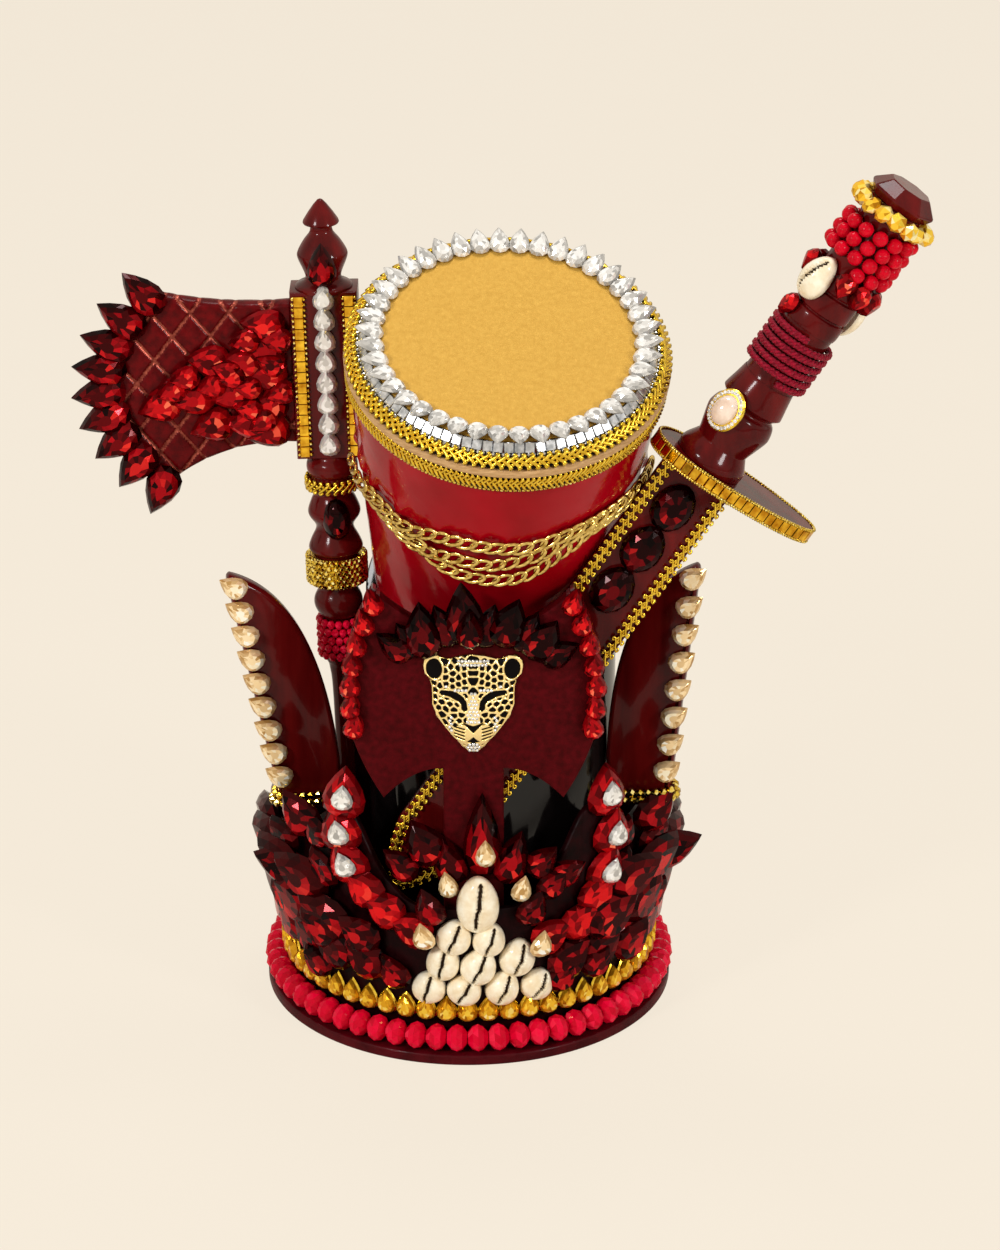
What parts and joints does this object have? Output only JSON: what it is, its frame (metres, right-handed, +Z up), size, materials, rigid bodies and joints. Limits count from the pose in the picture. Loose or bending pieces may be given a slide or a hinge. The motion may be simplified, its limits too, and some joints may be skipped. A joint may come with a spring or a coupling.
{
  "type": "orisha crown",
  "caption": "Jewelled altar crown: a round beaded base with an open band, carrying a leaning drum, an axe, a sword, a double-axe plate and a pair of wings.",
  "frame": {"origin": "middle of the base board's flat underside, on the surface it stands on", "axes": "+Z up, the front with the cowries and the double-axe plate faces -Y, +X to the viewer's right"},
  "size_m": [0.3783, 0.219, 0.4231],
  "materials": {
    "amber_glass": "foil-backed amber stones",
    "amber_mirror_tape": "amber mirror tiles",
    "black_gloss": "glossy black",
    "board_lacquer": "dark maroon lacquer over board",
    "champagne_glass": "foil-backed champagne stones",
    "clear_glass": "foil-backed clear stones",
    "coral_glass": "faceted opaque red rondelles",
    "cowrie_shell": "natural glossy shell",
    "garnet_glass": "foil-backed deep garnet stones",
    "gold_leather": "fine-grained gold leather",
    "gold_metal": "polished gold colour",
    "maroon_satin": "satin maroon",
    "mirror_tape": "silver mirror tiles",
    "pale_wood": "clear satin",
    "pearl_brooch": "pearl in a beaded gold setting",
    "red_brown_lacquer": "turned wood under red-brown lacquer",
    "red_gloss": "high-gloss red",
    "ruby_glass": "foil-backed ruby stones",
    "satin_rope": "satin twisted cord"
  },
  "bodies": {
    "root": {"base_disc": "board_lacquer", "crown_band": "board_lacquer", "coral_bead_ring": "coral_glass", "amber_stone_ring": "amber_glass", "core_post": "black_gloss", "garnets_left": "garnet_glass", "garnets_right": "garnet_glass", "ruby_swag_left": "ruby_glass", "ruby_swag_right": "ruby_glass", "front_fan": "garnet_glass", "cowrie_01": "cowrie_shell", "cowrie_02": "cowrie_shell", "cowrie_03": "cowrie_shell", "cowrie_04": "cowrie_shell", "cowrie_05": "cowrie_shell", "cowrie_06": "cowrie_shell", "cowrie_07": "cowrie_shell", "cowrie_08": "cowrie_shell", "cowrie_09": "cowrie_shell", "cowrie_10": "cowrie_shell", "labrys_plate": "maroon_satin", "labrys_brooch": "gold_metal", "labrys_crest": "garnet_glass", "labrys_gems_left": "ruby_glass", "labrys_gems_right": "ruby_glass", "wing_left": "red_brown_lacquer", "wing_gems_left": "champagne_glass", "wing_beads_left": "gold_metal", "wing_right": "red_brown_lacquer", "wing_gems_right": "champagne_glass", "wing_beads_right": "gold_metal", "drum_body": "red_gloss", "drum_lower_trim": "gold_metal", "drum_hoop": "pale_wood", "drum_braid": "gold_metal", "drum_mirror_band": "mirror_tape", "drum_skin": "gold_leather", "drum_gem_ring": "clear_glass", "drum_chain": "gold_metal", "axe_shaft": "red_brown_lacquer", "axe_blade": "maroon_satin", "axe_edge_gems": "garnet_glass", "axe_face_gems": "ruby_glass", "axe_clear_gems": "clear_glass", "axe_gold_trim": "gold_metal", "axe_gold_band": "gold_metal", "axe_bead_wrap": "coral_glass", "sword_blade": "red_brown_lacquer", "sword_braid": "gold_metal", "sword_blade_gems": "garnet_glass", "sword_guard": "red_brown_lacquer", "sword_guard_tape": "amber_mirror_tape", "sword_grip": "red_brown_lacquer", "sword_pommel": "red_brown_lacquer", "sword_rope_wrap": "satin_rope", "sword_bead_wrap": "coral_glass", "sword_amber_ring": "amber_glass", "sword_ruby_drops": "ruby_glass", "sword_cowrie": "cowrie_shell", "sword_pearl_brooch": "pearl_brooch"}
  },
  "joints": []
}
